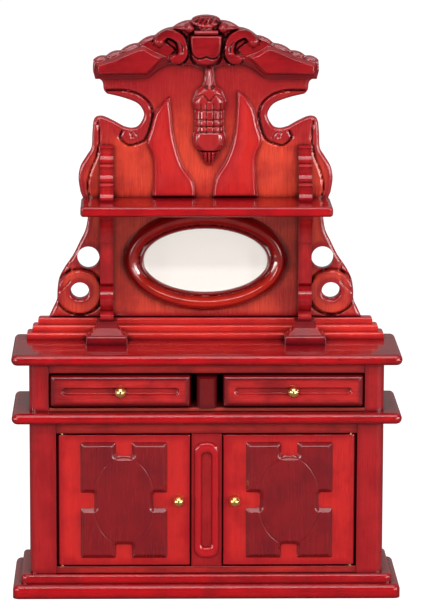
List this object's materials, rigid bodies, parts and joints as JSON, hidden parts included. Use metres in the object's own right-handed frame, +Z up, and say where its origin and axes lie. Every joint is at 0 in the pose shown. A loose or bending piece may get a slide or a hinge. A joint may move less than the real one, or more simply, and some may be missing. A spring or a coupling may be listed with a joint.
{
  "type": "miniature sideboard",
  "caption": "Dolls' house sideboard of stained wood: base cabinet with hinged doors and sliding drawers, and a carved hutch with shelf, brackets and oval mirror.",
  "frame": {"origin": "middle of the plinth's underside, on the floor", "axes": "+X to the right, +Y to the back, +Z up, seen from the front"},
  "size_m": [0.1174, 0.0359, 0.1744],
  "materials": {
    "mahogany_edge": "high-gloss lacquer over crimson stain",
    "mahogany_face": "high-gloss lacquer over orange-red stain, fine grain",
    "mahogany_dark": "high-gloss lacquer over dark maroon stain",
    "mahogany_inner": "thin satin stain",
    "brass": "polished",
    "mirror": "silvered glass"
  },
  "bodies": {
    "cabinet": {"back_board": "mahogany_face", "back_panel": "mahogany_inner", "base_plinth": "mahogany_edge", "base_step": "mahogany_edge", "bracket_foot_left": "mahogany_edge", "bracket_foot_right": "mahogany_edge", "bracket_lower_left": "mahogany_edge", "bracket_lower_right": "mahogany_edge", "bracket_upper_left": "mahogany_edge", "bracket_upper_right": "mahogany_edge", "centre_block": "mahogany_dark", "centre_stile": "mahogany_face", "countertop": "mahogany_edge", "crest": "mahogany_edge", "drawer_divider": "mahogany_inner", "drawer_floor": "mahogany_edge", "drop_ornament": "mahogany_edge", "horn_leaf_left": "mahogany_edge", "horn_leaf_right": "mahogany_edge", "hutch_base": "mahogany_edge", "mirror_frame": "mahogany_dark", "mirror_glass": "mirror", "post_lower_left": "mahogany_face", "post_lower_right": "mahogany_face", "post_upper_left": "mahogany_face", "post_upper_right": "mahogany_face", "rail_over_doors": "mahogany_edge", "rail_over_drawers": "mahogany_edge", "rail_under_doors": "mahogany_edge", "shelf": "mahogany_edge", "side_panel_left": "mahogany_face", "side_panel_right": "mahogany_face", "stile_moulding": "mahogany_face", "upper_back": "mahogany_inner", "upper_side_left": "mahogany_face", "upper_side_right": "mahogany_face", "waist_board": "mahogany_edge"},
    "left_door": {"door_left": "mahogany_face", "door_panel_left": "mahogany_dark", "door_knob_left": "brass", "door_hinge_pins_left": "brass"},
    "left_drawer": {"drawer_front_left": "mahogany_dark", "drawer_inner_side_left": "mahogany_inner", "drawer_outer_side_left": "mahogany_inner", "drawer_back_left": "mahogany_inner", "drawer_bottom_left": "mahogany_inner", "drawer_knob_left": "brass"},
    "right_door": {"door_right": "mahogany_face", "door_panel_right": "mahogany_dark", "door_knob_right": "brass", "door_hinge_pins_right": "brass"},
    "right_drawer": {"drawer_front_right": "mahogany_dark", "drawer_inner_side_right": "mahogany_inner", "drawer_outer_side_right": "mahogany_inner", "drawer_back_right": "mahogany_inner", "drawer_bottom_right": "mahogany_inner", "drawer_knob_right": "brass"}
  },
  "joints": [
    {"name": "left_door_hinge", "type": "hinge", "parent": "cabinet", "child": "left_door", "pos_m": [-0.0437, -0.0122, 0.02985], "axis": [0, 0, -1], "range_deg": [0, 100]},
    {"name": "right_door_hinge", "type": "hinge", "parent": "cabinet", "child": "right_door", "pos_m": [0.0437, -0.0122, 0.02985], "axis": [0, 0, 1], "range_deg": [0, 100]},
    {"name": "left_drawer_slide", "type": "slide", "parent": "cabinet", "child": "left_drawer", "axis": [0, -1, 0], "range_m": [0, 0.02]},
    {"name": "right_drawer_slide", "type": "slide", "parent": "cabinet", "child": "right_drawer", "axis": [0, -1, 0], "range_m": [0, 0.02]}
  ]
}
